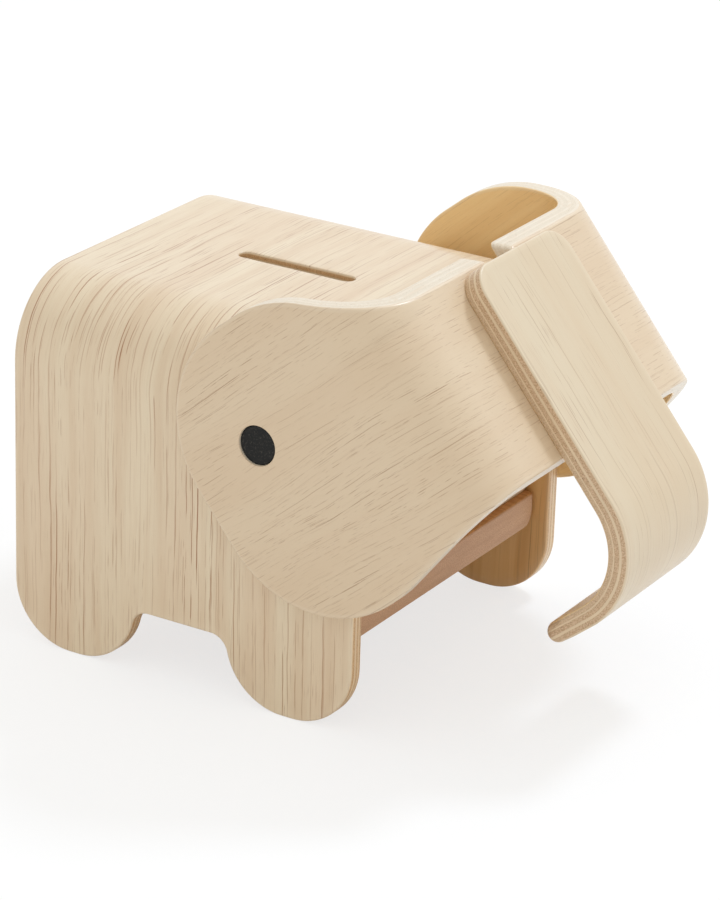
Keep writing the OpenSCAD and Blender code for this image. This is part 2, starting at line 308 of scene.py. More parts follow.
# Where each of them, and what is made of it, starts to show and shows in full
plyStep = {"cloud": (0.36, 0.64), "band": (0.40, 0.72), "silk": (0.38, 0.70), "crowd": (0.36, 0.62),
           "inner": (0.36, 0.66), "speck": (0.38, 0.62), "dot": (0.69, 0.76), "cream": (0.35, 0.70)}
plyFinish = {
    "insideFrom": 0.5, "insideTo": 0.6,      # shares of the depth where the inner veneer starts, which is coloured with painted warm bounce light and shade
    "innerLines": 0.55,                      # how strong its pore lines are
    "skinFade": 0.12,                        # from the face veneer to the cut edge, in millimetres
    "dotAmount": 0.75, "creamSilk": 0.5, "sandedAmount": 0.2, "cutRough": 0.12,
    "silkBump": 0.35, "speckBump": 0.9, "reach": 0.00025,
}


# Plywood seen from every side. The grain attribute holds, in millimetres, the place along the
# fibres, across them and below the outer face; the layers come from that depth alone.
def plywood(name, look, f=plyFinish):
    material, tree, shader = newMaterial(name)
    noise = lambda key, position, **more: noiseOf(tree, position, **plyNoise[key], **more)
    step = lambda key, value, *ends: remap(tree, value, *plyStep[key], *ends)
    mix = lambda amount, first, second: mixColour(tree, amount, first, second)
    grain, rim, thick = grainOf(tree), rimOf(tree), look["thick"]
    depth = addNode(tree, "ShaderNodeSeparateXYZ", i0=grain).outputs[2]

    aside = times(tree, minus(tree, noise("sway", grain), 0.5), look["sway"])
    push = addNode(tree, "ShaderNodeCombineXYZ", i1=aside).outputs[0]
    fibre = addNode(tree, "ShaderNodeVectorMath", {"operation": "ADD"}, i0=grain,
                    i1=push).outputs[0]

    cloud = noise("cloud", fibre, shift=look["shift"])
    band = noise("band", fibre, shift=look["shift"])
    silk = noise("silk", fibre)
    face = mix(step("cloud", cloud), look["face"], look["faceWarm"])
    face = mix(step("band", band, 0.0, look["bandAmount"]), face, look["band"])
    face = mix(step("silk", silk, 0.0, look["silkAmount"]), face, look["silk"])

    # pore lines: dark is how strong the line at a point is, weaker in sparse areas and on the inner
    # face
    parts = addNode(tree, "ShaderNodeSeparateXYZ", i0=fibre).outputs
    across = plus(tree, parts[1], times(tree, noise("curl", grain), look["curl"]))
    dark = 0.0
    for line in look["lines"]:
        dark = mathOf(tree, "MAXIMUM", dark, lineLayer(tree, parts[0], across, *line))
    # the inner face, from insideFrom to insideTo of the depth, is where the painted warm bounce
    # light and shade go
    paintedShadeInside = remap(tree, depth, thick * f["insideFrom"], thick * f["insideTo"])
    dark = times(tree, dark, step("crowd", noise("crowd", fibre), look["sparse"], 1.0))
    dark = times(tree, dark, remap(tree, paintedShadeInside, 0.0, 1.0, 1.0, f["innerLines"]))
    # painted bounce light and shade: the inner face's veneer and its pores take the look's inner
    # colours, warm tones that stand for light bounced between the wood's faces
    inner = mix(step("inner", band), look["inner"], look["innerPaintedShadeDark"])
    face = mix(paintedShadeInside, face, inner)
    face = mix(dark, face, mix(paintedShadeInside, look["pore"], look["innerPaintedShadePore"]))

    # layers of the cut edge: the ramp runs over the depth, 0 for pale long plies and 1 for brown
    # cross plies
    waver = times(tree, minus(tree, noise("layer", grain), 0.5), look["plyWaver"])
    ramp = addNode(tree, "ShaderNodeValToRGB",
                   i0=plus(tree, mathOf(tree, "DIVIDE", depth, thick), waver))
    steps = ramp.color_ramp.elements
    for place, value in look["plies"]:
        steps.new(place).color = (value, value, value, 1)
    steps.remove(steps[0])
    steps.remove(steps[-1])
    speck, dot = noise("speck", grain), noise("dot", grain)
    crossPly = mix(step("speck", speck), look["plyBrown"], look["plyDark"])
    crossPly = mix(step("dot", dot, 0.0, f["dotAmount"]), crossPly, look["plyDot"])
    longPly = mix(step("cream", silk, 0.0, f["creamSilk"]), look["plyCream"], look["faceWarm"])
    edge = mix(ramp.outputs[0], longPly, crossPly)

    # cut is 1 where the edge of the sheet shows, 0 on its two face veneers
    skin, fade = look["skin"], f["skinFade"]
    cut = times(tree, remap(tree, depth, skin, skin + fade),
                remap(tree, depth, thick - skin, thick - skin - fade))
    sanded = times(tree, times(tree, rim, minus(tree, 1.0, cut)), f["sandedAmount"])
    colour = mix(sanded, mix(cut, face, edge), look["sanded"])
    gloss = glossOf(tree, silk, look)
    height = minus(tree, times(tree, silk, f["silkBump"]), dark)
    height = plus(tree, height, times(tree, times(tree, speck, cut), f["speckBump"]))
    shader.inputs["Coat Weight"].default_value = look["coat"]
    wireShader(tree, shader, colour, plus(tree, gloss, times(tree, cut, f["cutRough"])), height,
               look["bump"], f["reach"])
    return material


bodyShell = {
    "length": 108.0, "width": 109.5, "height": 103.5, "bend": 22.4, "ply": 4.9,
    "leg": 39.2, "foot": 18.0, "belly": 18.0, "bellyCorner": 5.3,
    "slotLength": 36.6, "slotWidth": 4.6, "slotEdge": 0.45, "edge": 0.6,
    "faceRows": 66, "edgePoints": 165, "footPoints": 20, "cornerPoints": 9, "bellyPoints": 12,
}
# Each of the lines is a layer: lane, width and length in millimetres, start of the noise that
# shows it, amount, shift. The plies are places over the depth, from 0 outside to 1 inside, with
# 0 for a pale ply and 1 for a brown one.
bodyLook = {
    "thick": bodyShell["ply"], "face": tone(223, 205, 176), "faceWarm": tone(218, 195, 165),
    "band": tone(208, 181, 149), "bandAmount": 0.65, "silk": tone(210, 188, 157),
    # the inner colours, with their darker bands and pores, are the inner face's veneer coloured
    # with painted warm bounce light and shade
    "silkAmount": 0.3, "pore": tone(150, 92, 44), "inner": tone(224, 182, 122),
    "innerPaintedShadeDark": tone(208, 160, 98), "innerPaintedShadePore": tone(150, 104, 58),
    "lines": [(3.7, 0.32, 34.0, 0.38, 1.0, 0.3), (2.1, 0.26, 20.0, 0.43, 0.8, 0.7),
              (1.0, 0.22, 12.0, 0.46, 0.48, 0.1)],
    "curl": 0.9, "sparse": 0.35, "sway": 4.0, "shift": (0, 0, 0), "plyWaver": 0.025,
    "plies": [(0.0, 0.0), (0.13, 0.0), (0.15, 1.0), (0.34, 1.0), (0.36, 0.0), (0.47, 0.0),
              (0.49, 0.9), (0.66, 0.9), (0.68, 0.0), (0.76, 0.0), (0.78, 1.0), (0.92, 1.0),
              (0.94, 0.0)],
    "plyCream": tone(228, 203, 164), "plyBrown": tone(214, 174, 126),
    "plyDark": tone(190, 148, 102), "plyDot": tone(120, 84, 58), "skin": 0.3,
    "sanded": tone(232, 215, 188), "roughLow": 0.46, "roughHigh": 0.62, "bump": 0.35,
    "coat": 0.75,
}


# Place of a point of the unrolled body: x along it, w round the arch from the middle of the back.
# The back is flat up to the bend, the bend is part of a circle whose radius falls with depth, the
# flank is upright.
def bodyPlace(plan, depth, b=bodyShell):
    x, w = plan[..., 0], plan[..., 1]
    flat = b["width"] / 2 - b["bend"]
    arc = b["bend"] * quarterTurn
    turn = np.clip((np.abs(w) - flat) / b["bend"], 0, quarterTurn)
    down = np.clip(np.abs(w) - flat - arc, 0, None)
    radius = b["bend"] - depth
    y = np.minimum(np.abs(w), flat) + radius * np.sin(turn)
    z = b["height"] - b["bend"] + radius * np.cos(turn) - down
    return np.stack([x, np.sign(w) * y, z], -1)


# Lower end of a flank from front to rear: foot, fillet, belly line, fillet, foot; heights are from
# the ground. The fillet touches the foot's circle, so their centres are foot + corner apart.
def flankEnd(b=bodyShell):
    foot, corner = b["foot"], b["bellyCorner"]
    inner = b["leg"] - foot                  # centre of the foot's inner arc
    low = b["belly"] - corner                # height of the fillet's centre
    gap = math.sqrt((foot + corner) ** 2 - (foot - low) ** 2)
    lean = math.degrees(math.asin((foot - low) / (foot + corner)))
    half = np.concatenate([
        arcLoop(foot, foot, foot, 180, 270, b["footPoints"]),
        arcLoop(inner, foot, foot, 270, 360 - lean, b["footPoints"]),
        arcLoop(inner + gap, low, corner, 180 - lean, 90, b["cornerPoints"])])
    belly = lineLoop(half[-1], (b["length"] - half[-1, 0], half[-1, 1]), b["bellyPoints"])
    other = np.stack([b["length"] - half[::-1, 0], half[::-1, 1]], 1)
    return np.concatenate([half, belly, other])[::-1]


def buildBody(b=bodyShell):
    flat = b["width"] / 2 - b["bend"]
    reach = flat + b["bend"] * quarterTurn + b["height"] - b["bend"]     # middle to ground
    end = flankEnd()
    upper = np.stack([end[:, 0], reach - end[:, 1]], 1)
    lower = np.stack([end[::-1, 0], end[::-1, 1] - reach], 1)
    side = reach - b["foot"]
    outline = np.concatenate([
        lower, lineLoop((b["length"], -side), (b["length"], side), b["edgePoints"]),
        upper, lineLoop((0, side), (0, -side), b["edgePoints"])])
    # each outline point looks at one point of the slot: its straight sides for the flanks' ends,
    # its round ends for the front and rear edges
    middle, slotR = b["length"] / 2, b["slotWidth"] / 2
    share = (outline[:, 0] - middle) / middle
    angle = np.clip(outline[:, 1] / side, -1, 1) * quarterTurn
    angle = np.where(share < -0.9999, math.pi - angle, angle)           # the rear edge
    outward = np.stack([np.cos(angle), np.sin(angle)], 1)
    slot = np.stack([middle + share * (b["slotLength"] / 2 - slotR), 0 * share], 1)
    rim = rimRows(lambda d: outline, b["ply"], b["edge"])
    hole = holeRows(slot + outward * slotR, outward, b["ply"], b["slotEdge"])
    plan, depth = sheetRows(rim, hole, b["faceRows"])
    grain = np.stack([plan[..., 1], plan[..., 0], depth], -1)
    return gridMesh("bodyShell", bodyPlace(plan, depth), grain, rimValue(plan, len(rim[0])))


finishPiece(buildBody(), plywood("bodyPlywood", bodyLook), "box", "body_shell")


# The head's frame turns by the tilt about the front top corner of the body
head = {"tilt": 39.2, "ahead": 16.5, "drop": 13.6}
ear = {
    "ply": 5.5, "bend": 19.4, "length": 78.1, "height": 83.5, "half": 60.25, "gap": 6.5,
    "topCorner": 33.0, "lowCorner": 32.8, "gapCorner": 1.8, "edge": 0.5,
    "browBack": 27.7, "browFall": 36.2, "browR": 35.0,       # fall and rise are slopes in degrees
    "jawBack": 40.2, "jawRise": 13.0, "jawR": 36.0,
    "eyeBack": 53.7, "eyeUp": 10.6, "eyeHole": 5.5, "holeEdge": 0.25,
    "grainShift": 60.0,                                      # each ear has a veneer of its own
    "faceRows": 92, "arcPoints": 34, "lobePoints": 30, "bendPoints": 36, "facePoints": 22,
    "cornerPoints": 7, "gapPoints": 30, "rearPoints": 14, "gapLead": 0.5,
}
earLook = dict(
    bodyLook, thick=ear["ply"], face=tone(216, 194, 164), faceWarm=tone(213, 189, 158),
    lines=[(3.6, 0.22, 22.0, 0.46, 0.68, 0.2), (1.7, 0.19, 10.0, 0.44, 0.58, 0.6),
           (0.9, 0.17, 6.0, 0.44, 0.48, 0.9)],
    # the inner colours are the ears' inner veneer with painted warm bounce light and shade
    curl=0.7, pore=tone(146, 104, 66), sparse=0.5, sway=6.0, inner=tone(240, 206, 146),
    innerPaintedShadeDark=tone(232, 194, 132), innerPaintedShadePore=tone(176, 132, 80), shift=(40, 11, 3),
    silkAmount=0.18, bandAmount=0.22,
    plies=[(0.0, 0.0), (0.17, 0.0), (0.20, 0.55), (0.38, 0.7), (0.41, 0.0), (0.50, 0.0),
           (0.53, 0.65), (0.70, 0.65), (0.73, 0.0), (0.80, 0.0), (0.83, 0.6), (0.92, 0.5),
           (0.94, 0.0)],
    plyCream=tone(225, 212, 192), plyBrown=tone(220, 206, 184), plyDark=tone(206, 190, 164),
    sanded=tone(228, 213, 190))


# From the head's frame (out of the face, across, up along the face) to the body's frame
def headPlace(out, across, up):
    t = math.radians(head["tilt"])
    a, c = head["ahead"] + out, up - head["drop"]
    x = bodyShell["length"] + a * math.cos(t) - c * math.sin(t)
    z = bodyShell["height"] + a * math.sin(t) + c * math.cos(t)
    return np.stack([x, across + 0 * x, z], -1)


# Distance out of the face and from the middle plane, for a place s along the ear's strip: straight
# lobe, quarter bend whose radius falls with depth, straight half of the face
def earStrip(s, depth, e=ear):
    start = e["length"] - e["bend"]
    turn = np.clip((s - start) / e["bend"], 0, quarterTurn)
    past = np.clip(s - start - e["bend"] * quarterTurn, 0, None)
    radius = e["bend"] - depth
    out = -e["bend"] + np.minimum(s - start, 0) + radius * np.sin(turn)
    across = e["half"] - e["bend"] + radius * np.cos(turn) - past
    return out, across


# Height of the upper or lower edge over the distance out of the face: level, a circle, then a
# straight slope
def earEdge(out, back, slope, radius, e=ear):
    s = math.radians(slope)
    run = radius * math.tan(s / 2)
    start, end = -back - run, -back + run * math.cos(s)
    level = e["height"] / 2
    circle = level - radius + np.sqrt(np.clip(radius ** 2 - (out - start) ** 2, 0, None))
    sloping = level - (out + back) * math.tan(s)
    return np.where(out < start, level, np.where(out < end, circle, sloping))


# Outline of the unrolled ear at a depth: lower rear corner, lower edge, the end at the middle gap
# with its two round corners, upper edge, upper rear corner. The edges are plane cuts, so on the
# bend they depend on the depth.
def earOutline(depth, e=ear):
    lowR, highR, g, level = e["lowCorner"], e["topCorner"], e["gapCorner"], e["height"] / 2
    bendStart = e["length"] - e["bend"]
    bendEnd = bendStart + e["bend"] * quarterTurn
    end = bendEnd + e["half"] - e["bend"] - e["gap"]
    jaw, brow = (e["jawBack"], e["jawRise"], e["jawR"]), (e["browBack"], e["browFall"], e["browR"])
    lowArc = arcLoop(lowR, lowR - level, lowR, 180, 270, e["arcPoints"])[:-1]
    highArc = arcLoop(highR, level - highR, highR, 90, 180, e["arcPoints"])[1:]
    stretch = lambda start: np.concatenate([
        np.linspace(start, bendStart, e["lobePoints"]),
        np.linspace(bendStart, bendEnd, e["bendPoints"])[1:],
        np.linspace(bendEnd, end - g, e["facePoints"])[1:]])
    lowS, highS = stretch(lowR), stretch(highR)[::-1]
    first = len(lowArc)                      # where the lower edge and the upper edge start
    second = first + len(lowS) + 2 * e["cornerPoints"] + e["gapPoints"]
    depths = np.broadcast_to(depth, (second + len(highS) + len(highArc) + e["rearPoints"],))
    lowOut = earStrip(lowS, depths[first:first + len(lowS)])[0]
    highOut = earStrip(highS, depths[second:second + len(highS)])[0]
    lowEdge = np.stack([lowS, -earEdge(lowOut, *jaw)], 1)
    highEdge = np.stack([highS, earEdge(highOut, *brow)], 1)
    lowEnd, highEnd = lowEdge[-1, 1] + g, highEdge[0, 1] - g
    return np.concatenate([
        lowArc, lowEdge,
        arcLoop(end - g, lowEnd, g, 270, 360, e["cornerPoints"] + 2)[1:-1],
        lineLoop((end, lowEnd - e["gapLead"]), (end, highEnd + e["gapLead"]), e["gapPoints"]),
        arcLoop(end - g, highEnd, g, 0, 90, e["cornerPoints"] + 2)[1:-1],
        highEdge, highArc, lineLoop((0, level - highR), (0, lowR - level), e["rearPoints"])])


def buildEar(name, side, e=ear):
    middle = np.array([e["length"] - e["eyeBack"], e["eyeUp"]])
    aim = earOutline(0.0) - middle
    outward = aim / np.linalg.norm(aim, axis=1, keepdims=True)
    rim = rimRows(earOutline, e["ply"], e["edge"])
    hole = holeRows(middle + outward * e["eyeHole"], outward, e["ply"], e["holeEdge"])
    plan, depth = sheetRows(rim, hole, e["faceRows"])
    out, across = earStrip(plan[..., 0], depth)
    points = headPlace(out, side * across, plan[..., 1])
    grain = np.stack([plan[..., 0], plan[..., 1] + side * e["grainShift"], depth], -1)
    return gridMesh(name, points, grain, rimValue(plan, len(rim[0])))


earPlywood = plywood("earPlywood", earLook)
for name, side, node in (("earLeft", 1, "ear_left"), ("earRight", -1, "ear_right")):
    finishPiece(buildEar(name, side), earPlywood, "box", node)


trunk = {
    "width": 45.8, "ply": 5.9, "corner": 7.5, "up": 20.5, "down": 48.5, "bend": 25.4, "tip": 14.8,
    "tipCorner": 3.0, "edge": 0.5,
    "tipEdge": 2.9, "tipStart": 9.0, "tipSpan": 7.0,     # the edge's radius grows before the tip
    "spineTop": 18.0, "spineEnd": 16.0,                  # the faces' middle line, from either end
    "faceRows": 24, "rimSteps": 8,
    "points": (20, 8, 100, 14, 16),                      # on tip, tip corner, side, corner, top
}
trunkLook = dict(
    bodyLook, thick=trunk["ply"], coat=0.5, face=tone(213, 196, 168), faceWarm=tone(209, 189, 159),
    lines=[(5.2, 0.29, 55.0, 0.40, 0.75, 0.4), (2.2, 0.23, 26.0, 0.45, 0.6, 0.8),
           (1.1, 0.19, 14.0, 0.48, 0.45, 0.2)],
    # the inner colours are the trunk's inner veneer with painted warm bounce light and shade
    pore=tone(152, 116, 80), sparse=0.5, sway=4.0, inner=tone(242, 214, 164),
    innerPaintedShadeDark=tone(232, 198, 144), shift=(7, 31, 9), silkAmount=0.2, bandAmount=0.2,
    plies=[(0.0, 0.0), (0.075, 0.0), (0.095, 1.0), (0.30, 1.0), (0.32, 0.0), (0.42, 0.0),
           (0.44, 1.0), (0.66, 1.0), (0.68, 0.0), (0.72, 0.0), (0.74, 0.8), (0.93, 0.8),
           (0.95, 0.0)],
    plyCream=tone(224, 201, 168), plyBrown=tone(214, 185, 152), plyDark=tone(182, 148, 112))


# Place of a point of the unrolled trunk: s down from the top, w across. Straight, then a quarter
# bend whose radius falls with depth, then straight back towards the body.
def trunkPlace(plan, depth, k=trunk):
    s, w = plan[..., 0], plan[..., 1]
    straight = k["up"] + k["down"]
    turn = np.clip((s - straight) / k["bend"], 0, quarterTurn)
    past = np.clip(s - straight - k["bend"] * quarterTurn, 0, None)
    radius = k["bend"] - depth
    out = k["ply"] - k["bend"] + radius * np.cos(turn) - past
    up = k["up"] - np.minimum(s, straight) - radius * np.sin(turn)
    return headPlace(out, w, up)


# The radius of the rim's edges is edge + (tipEdge - edge) * t * t * (3 - 2 * t), where t runs from
# 0 to 1 over the tip's span
def buildTrunk(k=trunk):
    end = k["up"] + k["down"] + k["bend"] * quarterTurn + k["tip"]
    half, c, t, n = k["width"] / 2, k["corner"], k["tipCorner"], k["points"]
    side = np.concatenate([
        [[end, 0]], lineLoop((end, 0), (end, half - t), n[0]),
        arcLoop(end - t, half - t, t, 0, 90, n[1]), lineLoop((end - t, half), (c, half), n[2]),
        arcLoop(c, half - c, c, 90, 180, n[3]), lineLoop((0, half - c), (0, 0), n[4])])
    outline = np.concatenate([side, [[0, 0]], side[:0:-1] * [1, -1]])
    near = np.clip((outline[:, 0] - (end - k["tipStart"])) / k["tipSpan"], 0, 1)
    edge = k["edge"] + (k["tipEdge"] - k["edge"]) * near * near * (3 - 2 * near)
    spine = np.clip(outline[:, 0], k["spineTop"], end - k["spineEnd"])
    rim = rimRows(lambda d: outline, k["ply"], edge, k["rimSteps"])
    core = spineRows(np.stack([spine, 0 * spine], 1), k["ply"])
    plan, depth = sheetRows(rim, core, k["faceRows"])
    grain = np.stack([plan[..., 0], plan[..., 1], depth], -1)
    return gridMesh("trunkStrip", trunkPlace(plan, depth), grain, rimValue(plan, len(rim[0])),
                    cutRow=len(rim[0]) + k["faceRows"] - 2, merge=True)


finishPiece(buildTrunk(), plywood("trunkPlywood", trunkLook), "box", "trunk")


board = {"low": 23.1, "thick": 9.6, "inset": 4.2, "half": 49.85, "lowR": 4.5, "topR": 1.5,
         "endR": 0.8, "corner": 2.4, "outlet": 18.0, "outletEdge": 0.6,
         "faceRows": 34, "roundSteps": 7, "sidePoints": 60, "cornerPoints": 10}


# Rounded rectangle about the middle, starting at the middle of the front edge
def plateLoop(halfX, halfY, corner, sides=board["sidePoints"], arcs=board["cornerPoints"]):
    x, y = halfX - corner, halfY - corner
    return np.concatenate([
        lineLoop((halfX, -y), (halfX, y), sides), arcLoop(x, y, corner, 0, 90, arcs),
        lineLoop((x, halfY), (-x, halfY), sides), arcLoop(-x, y, corner, 90, 180, arcs),
        lineLoop((-halfX, y), (-halfX, -y), sides), arcLoop(-x, -y, corner, 180, 270, arcs),
        lineLoop((-x, -halfY), (x, -halfY), sides), arcLoop(x, -y, corner, 270, 360, arcs)])


# Each row of the rim is a plate outline at one depth; it draws in near a face by
# radius * (1 - sqrt(1 - past squared)), where past is the depth past the arc's start in radii,
# separately for the ends and for the long edges
def buildBoard(b=board):
    sag = 1 - np.cos(np.linspace(0, quarterTurn, b["roundSteps"]))
    depths = np.unique(np.round(np.concatenate([
        b["topR"] * sag, b["endR"] * sag, b["thick"] - b["lowR"] * sag,
        b["thick"] - b["endR"] * sag]), 3))

    def drawIn(depth, top, low):
        past = max(top - depth, 0) / top, max(depth - (b["thick"] - low), 0) / low
        rise = [1 - math.sqrt(max(1 - p ** 2, 0)) for p in past]
        return top * rise[0] + low * rise[1]

    halfX = bodyShell["length"] / 2 - b["inset"]
    rim = np.stack([plateLoop(halfX - drawIn(d, b["endR"], b["endR"]),
                              b["half"] - drawIn(d, b["topR"], b["lowR"]), b["corner"])
                    for d in depths])
    outward = rim[0] / np.linalg.norm(rim[0], axis=1, keepdims=True)
    hole = holeRows(outward * b["outlet"], outward, b["thick"], b["outletEdge"])
    plan, depth = sheetRows((rim, depths[:, None] * np.ones(rim.shape[1])), hole, b["faceRows"])
    points = np.stack([plan[..., 0] + bodyShell["length"] / 2, plan[..., 1],
                       b["low"] + b["thick"] - depth], -1)
    grain = np.stack([plan[..., 0], plan[..., 1], depth], -1)
    return gridMesh("floorBoard", points, grain, rimValue(plan, len(rim)))


boardLook = {"wood": tone(212, 162, 108), "woodDark": tone(190, 138, 86), "pore": tone(140, 98, 68),
             "endWood": tone(204, 163, 128), "endDark": tone(180, 138, 104),
             "roughLow": 0.5, "roughHigh": 0.68, "bump": 0.35, "reach": 0.0003}


# Noises of solid wood, with their stretch along its fibres and across them, per millimetre
woodNoise = {
    "streak": {"stretch": (0.02, 0.5, 0.5), "detail": 3, "distortion": 0.3},
    "fine": {"stretch": (0.12, 3.0, 3.0), "detail": 3},
    "dash": {"stretch": (0.16, 2.4, 2.4), "detail": 1, "shift": (5, 1, 1)},          # long pores
    "speck": {"stretch": (0.4, 2.6, 2.6), "shift": (1, 6, 2), "roughness": 0.7},     # cut pores
    "ring": {"stretch": (0.01, 0.05, 0.5), "shift": (3, 3, 3)},
}
# Where each starts to show and shows in full, and how much at most
woodStep = {"streak": (0.35, 0.68), "fine": (0.4, 0.7, 0.0, 0.4), "dash": (0.64, 0.74, 0.0, 0.6),
            "speck": (0.36, 0.68), "ring": (0.4, 0.62, 0.0, 0.4), "end": (0.6, 0.8)}
fineBump = 0.5


# Solid wood with its fibres along x: long streaks on the faces, fine specks on the two sawn ends
def solidWood(name, look):
    material, tree, shader = newMaterial(name)
    grain = grainOf(tree)
    made = {key: noiseOf(tree, grain, **entry) for key, entry in woodNoise.items()}
    shown = {key: remap(tree, made[key], *woodStep[key]) for key in made}
    long = mixColour(tree, shown["streak"], look["wood"], look["woodDark"])
    long = mixColour(tree, shown["fine"], long, look["woodDark"])
    long = mixColour(tree, shown["dash"], long, look["pore"])
    sawn = mixColour(tree, shown["speck"], look["endWood"], look["endDark"])
    sawn = mixColour(tree, shown["ring"], sawn, look["endDark"])
    normal = addNode(tree, "ShaderNodeTexCoord").outputs["Normal"]
    facing = addNode(tree, "ShaderNodeSeparateXYZ", i0=normal).outputs[0]
    isEnd = remap(tree, mathOf(tree, "ABSOLUTE", facing), *woodStep["end"])
    height = plus(tree, times(tree, made["fine"], fineBump), times(tree, made["speck"], isEnd))
    wireShader(tree, shader, mixColour(tree, isEnd, long, sawn), glossOf(tree, made["fine"], look),
               height, look["bump"], look["reach"])
    return material


finishPiece(buildBoard(), solidWood("boardWood", boardLook), "box", "floor_board")


panel = {"thick": 4.0, "inset": 6.8, "half": 49.7, "top": 98.45, "topR": 17.5, "foot": 2.5,
         "edge": 0.4, "grainShift": 90.0, "faceRows": 20, "rimSteps": 4,
         "spine": 30.0,                                  # the faces' middle line, from either end
         "points": (24, 7, 26, 16, 18)}                  # on foot, its corner, side, bend, top
panelLook = dict(bodyLook, thick=panel["thick"], face=tone(214, 190, 156),
                 faceWarm=tone(208, 182, 148), shift=(70, 3, 1), pore=tone(176, 132, 88), sway=5.0)


# A panel stands on the floor board, and inwards is the direction from its outer face along x
def buildPanel(name, outerX, inwards, p=panel):
    low = board["low"] + board["thick"]
    y, top, r, f, n = p["half"], p["top"], p["topR"], p["foot"], p["points"]
    side = np.concatenate([
        [[0, low]], lineLoop((0, low), (y - f, low), n[0]),
        arcLoop(y - f, low + f, f, 270, 360, n[1]), lineLoop((y, low + f), (y, top - r), n[2]),
        arcLoop(y - r, top - r, r, 0, 90, n[3]), lineLoop((y - r, top), (0, top), n[4])])
    outline = np.concatenate([side, [[0, top]], side[:0:-1] * [-1, 1]])
    spine = np.clip(outline[:, 1], low + p["spine"], top - p["spine"])
    rim = rimRows(lambda d: outline, p["thick"], p["edge"], p["rimSteps"])
    core = spineRows(np.stack([0 * spine, spine], 1), p["thick"])
    plan, depth = sheetRows(rim, core, p["faceRows"])
    points = np.stack([outerX + inwards * depth, plan[..., 0], plan[..., 1]], -1)
    grain = np.stack([plan[..., 0], plan[..., 1] + inwards * p["grainShift"], depth], -1)
    return gridMesh(name, points, grain, rimValue(plan, len(rim[0])),
                    cutRow=len(rim[0]) + p["faceRows"] - 2, merge=True)


panelPlywood = plywood("panelPlywood", panelLook)
finishPiece(buildPanel("frontPanel", bodyShell["length"] - panel["inset"], -1), panelPlywood,
            "box", "front_panel")
finishPiece(buildPanel("rearPanel", panel["inset"], 1), panelPlywood, "box",
            "rear_panel")


# Grid of a turned piece: each profile point (radius, height) goes round the z axis of its own frame
def turnedGrid(profile, columns):
    a = np.linspace(0, 2 * math.pi, columns, endpoint=False)
    radius, height = profile[:, 0, None], profile[:, 1, None]
    return np.stack([radius * np.cos(a), radius * np.sin(a), height + 0 * a], -1)


eye = {"radius": 5.45, "sunk": 0.6, "hidden": 0.3, "edge": 0.45, "dish": 0.12, "bevel": 0.4,
       "columns": 96}
eyeLook = {"black": tone(20, 20, 19), "worn": tone(58, 56, 52), "pore": tone(10, 10, 9),
           "roughLow": 0.5, "roughHigh": 0.72, "specular": 0.25, "bump": 0.4, "reach": 0.0002}


# Painted end grain: black with faint paler specks and fine pits
def paintedWood(name, look):
    material, tree, shader = newMaterial(name)
    grain = grainOf(tree)
    speck = noiseOf(tree, grain, (1.8, 1.8, 1.8), 3, roughness=0.75)
    pit = noiseOf(tree, grain, (3.4, 3.4, 1.0), 1, (5, 5, 5))
    shader.inputs["Specular IOR Level"].default_value = look["specular"]
    colour = mixColour(tree, remap(tree, speck, 0.52, 0.66), look["black"], look["worn"])
    colour = mixColour(tree, remap(tree, pit, 0.62, 0.72, 0.0, 0.8), colour, look["pore"])
    wireShader(tree, shader, colour, glossOf(tree, speck, look), speck, look["bump"],
               look["reach"])
    return material


# The end of a dowel through the ear: its crown is dished by dish * (1 - t squared), where t is the
# share of the radius
def buildEye(name, side, k=eye):
    top = ear["half"] - k["sunk"]
    low = bodyShell["width"] / 2 - bodyShell["ply"] + k["hidden"]
    r, g, v = k["radius"], k["edge"], k["bevel"]
    t = np.linspace(0, 1, 12)
    crown = np.stack([(r - g) * t, top - k["dish"] * (1 - t ** 2)], 1)
    profile = np.concatenate([crown, arcLoop(r - g, top - g, g, 90, 0, 7)[1:], [[r, low + v]],
                              [[r - v, low]], [[0, low]]])
    grid = turnedGrid(profile, k["columns"])
    points = headPlace(grid[..., 0] - ear["eyeBack"], side * grid[..., 2],
                       grid[..., 1] + ear["eyeUp"])
    return gridMesh(name, points, grid, merge=True, closedRows=False)


eyeBlack = paintedWood("eyeBlack", eyeLook)
for name, side, node in (("eyeLeft", 1, "eye_left"), ("eyeRight", -1, "eye_right")):
    finishPiece(buildEye(name, side), eyeBlack, "box", node)


pegs = {"radius": 2.45, "across": 14.0, "mid": -5.87, "pitch": 30.0, "length": 3.4,
        "proud": 0.15, "domeEdge": 0.3, "domeFall": 0.6, "shoulder": 0.2, "columns": 48}
dowelLook = dict(boardLook, wood=tone(214, 186, 148), woodDark=tone(196, 164, 126),
                 endWood=tone(204, 172, 136), endDark=tone(178, 142, 108))


# Four short dowels between face and trunk, two side by side and two above one another; the end
# behind the face is domed
def buildPegs(k=pegs):
    r, back = k["radius"], -ear["ply"]
    t = np.linspace(0, 1, 7)
    dome = np.stack([(r - k["domeEdge"]) * t, back - k["proud"] * (1 - k["domeFall"] * t ** 2)], 1)
    profile = np.concatenate([dome, [[r, back + k["shoulder"]]], [[r, k["length"]]],
                              [[0, k["length"]]]])
    grid = turnedGrid(profile, k["columns"])
    made = []
    for across in (-k["across"], k["across"]):
        for step in (-0.5, 0.5):
            up = k["mid"] + step * k["pitch"]
            points = headPlace(grid[..., 2], grid[..., 1] + across, grid[..., 0] + up)
            made.append(gridMesh("peg", points, grid[..., [2, 1, 0]] + [across, across, up],
                                 merge=True, closedRows=False))
    work = bmesh.new()
    for piece in made:
        work.from_mesh(piece.data)
    mesh = bpy.data.meshes.new("trunkDowels")
    work.to_mesh(mesh)
    work.free()
    for piece in made:
        bpy.data.objects.remove(piece)
    return addObject("trunkDowels", mesh)


